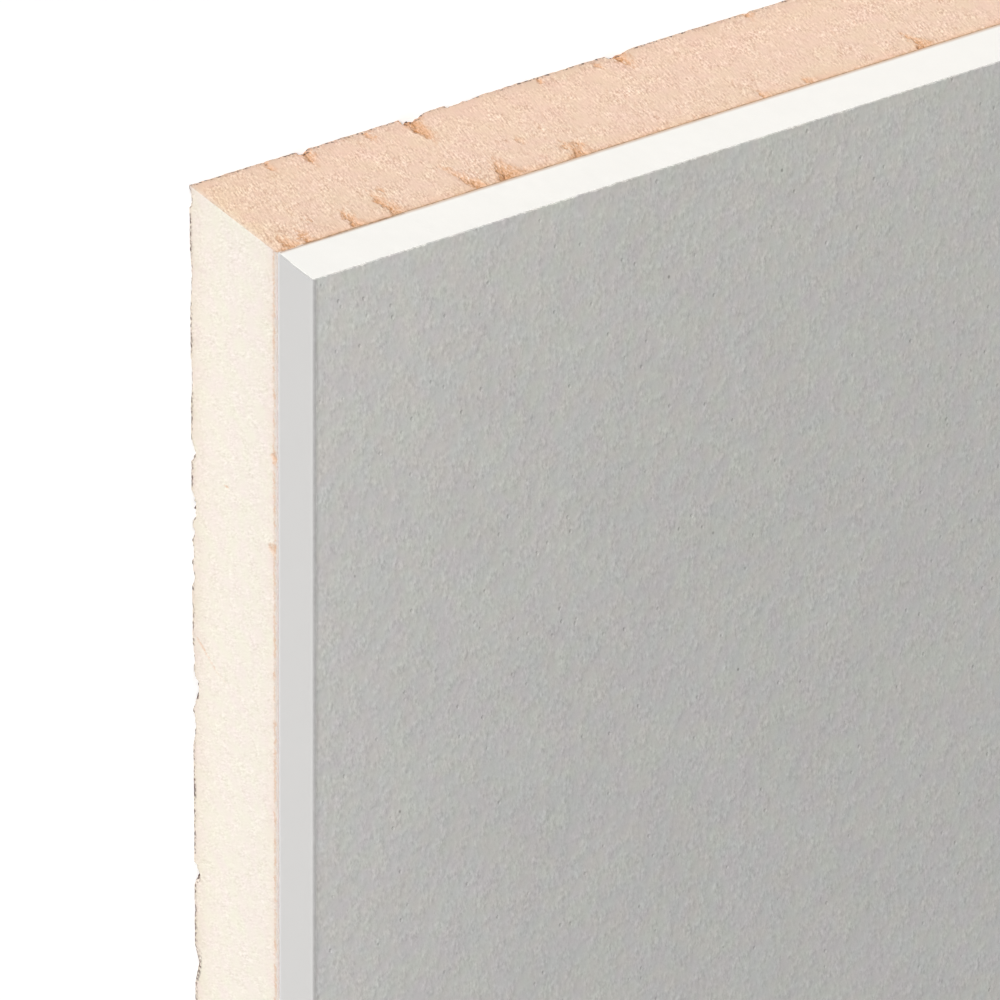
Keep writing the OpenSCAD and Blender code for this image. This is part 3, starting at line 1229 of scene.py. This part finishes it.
def place_camera(settings):
    """Puts the camera above the sheet, aimed at the face near the corner."""
    camera = bpy.data.objects.new("camera", bpy.data.cameras.new("camera"))
    bpy.context.scene.collection.objects.link(camera)
    camera.data.lens = settings.lens
    camera.data.sensor_width = SENSOR_WIDTH
    away = bearing(settings.azimuth, settings.elevation)
    target = CORNER + Vector((settings.target_across, -settings.target_along, 0))
    turn = (-away).to_track_quat("-Z", "Y").to_matrix() @ Matrix.Rotation(settings.roll, 3, "Z")
    camera.matrix_world = Matrix.Translation(target + away * settings.distance) @ turn.to_4x4()
    bpy.context.scene.camera = camera


def place_sun(name, azimuth, elevation, spread, strength):
    """A wide soft light from one side; strength 1 lights a square-on white surface to full white."""
    lamp = bpy.data.lights.new(name, "SUN")
    lamp.energy = strength * math.pi
    lamp.angle = spread
    sun = bpy.data.objects.new(name, lamp)
    sun.rotation_mode = "QUATERNION"
    sun.rotation_quaternion = (-bearing(azimuth, elevation)).to_track_quat("-Z", "Y")
    bpy.context.scene.collection.objects.link(sun)


def light_sky(settings):
    """Even light all round, on a white backdrop."""
    world = bpy.data.worlds.new("studio")
    bpy.context.scene.world = world
    world.use_nodes = True
    sky = Nodes(world.node_tree)
    backdrop = world.node_tree.nodes["Background"]
    strength = sky.seen_directly().ranged(0, 1, settings.sky_strength, 1.0)
    world.node_tree.links.new(strength.socket, backdrop.inputs["Strength"])
    backdrop.inputs["Color"].default_value = WHITE


def lay_floor(settings):
    """A plain white floor that keeps the sheet's shadow."""
    half = settings.floor_size / 2
    level = FOAM_LOW.z - FLOOR_DROP
    corners = [(x * half, y * half, level) for x, y in ((-1, -1), (1, -1), (1, 1), (-1, 1))]
    mesh = bpy.data.meshes.new("floor")
    mesh.from_pydata(corners, [], [(0, 1, 2, 3)])
    floor = bpy.data.objects.new("floor", mesh)
    bpy.context.scene.collection.objects.link(floor)
    material = bpy.data.materials.new("floor")
    material.use_nodes = True
    tree = material.node_tree
    tree.nodes.remove(tree.nodes["Principled BSDF"])
    nodes = Nodes(tree)
    coat = nodes.get("ShaderNodeBsdfDiffuse", 0, {"Color": FLOOR_COLOUR})
    glow = nodes.get("ShaderNodeEmission", 0, {"Strength": nodes.seen_directly() * settings.floor_glow})
    both = nodes.get("ShaderNodeAddShader", 0, {0: coat, 1: glow})
    tree.links.new(both.socket, tree.nodes["Material Output"].inputs["Surface"])
    mesh.materials.append(material)


class SHEET_OT_stage(bpy.types.Operator):
    """Sets up the camera, the lights and the floor"""

    bl_idname = "sheet.stage"
    bl_label = "Stage"

    def execute(self, context):
        settings = context.scene.sheet_stage
        context.scene.view_settings.view_transform = "Standard"
        place_camera(settings)
        elevation, spread = settings.key_elevation, settings.key_spread
        place_sun("key", settings.key_azimuth, elevation, spread, settings.key_strength)
        place_sun("fill", settings.key_azimuth + math.pi, elevation, spread, settings.fill_strength)
        light_sky(settings)
        lay_floor(settings)
        return {"FINISHED"}


GROUPS = {
    "sheet_foam": SHEET_PG_foam,
    "sheet_core": SHEET_PG_core,
    "sheet_paper": SHEET_PG_paper,
    "sheet_stage": SHEET_PG_stage,
}
STEPS = (SHEET_OT_stage, SHEET_OT_insulation_board, SHEET_OT_gypsum_core, SHEET_OT_papers)


class SHEET_PT_sidebar(bpy.types.Panel):
    """Lists the steps that build the sheet, with their sizes and colours"""

    bl_label = "Insulated plasterboard sheet"
    bl_space_type = "VIEW_3D"
    bl_region_type = "UI"
    bl_category = "Sheet"

    def draw(self, context):
        for step in STEPS:
            self.layout.operator(step.bl_idname)
        for group in GROUPS:
            box = self.layout.box()
            settings = getattr(context.scene, group)
            for key in settings.__annotations__:
                box.prop(settings, key)


CLASSES = (*GROUPS.values(), *STEPS, SHEET_PT_sidebar)


def register():
    """Adds the settings, the steps and the panel to Blender."""
    for cls in CLASSES:
        bpy.utils.register_class(cls)
    for name, group in GROUPS.items():
        setattr(bpy.types.Scene, name, bpy.props.PointerProperty(type=group))


def unregister():
    """Takes them out again."""
    for name in GROUPS:
        delattr(bpy.types.Scene, name)
    for cls in reversed(CLASSES):
        bpy.utils.unregister_class(cls)


def main():
    """Builds the stage and every piece."""
    register()
    bpy.ops.sheet.stage()
    bpy.ops.sheet.insulation_board()
    bpy.ops.sheet.gypsum_core()
    bpy.ops.sheet.papers()


if __name__ == "__main__":
    main()
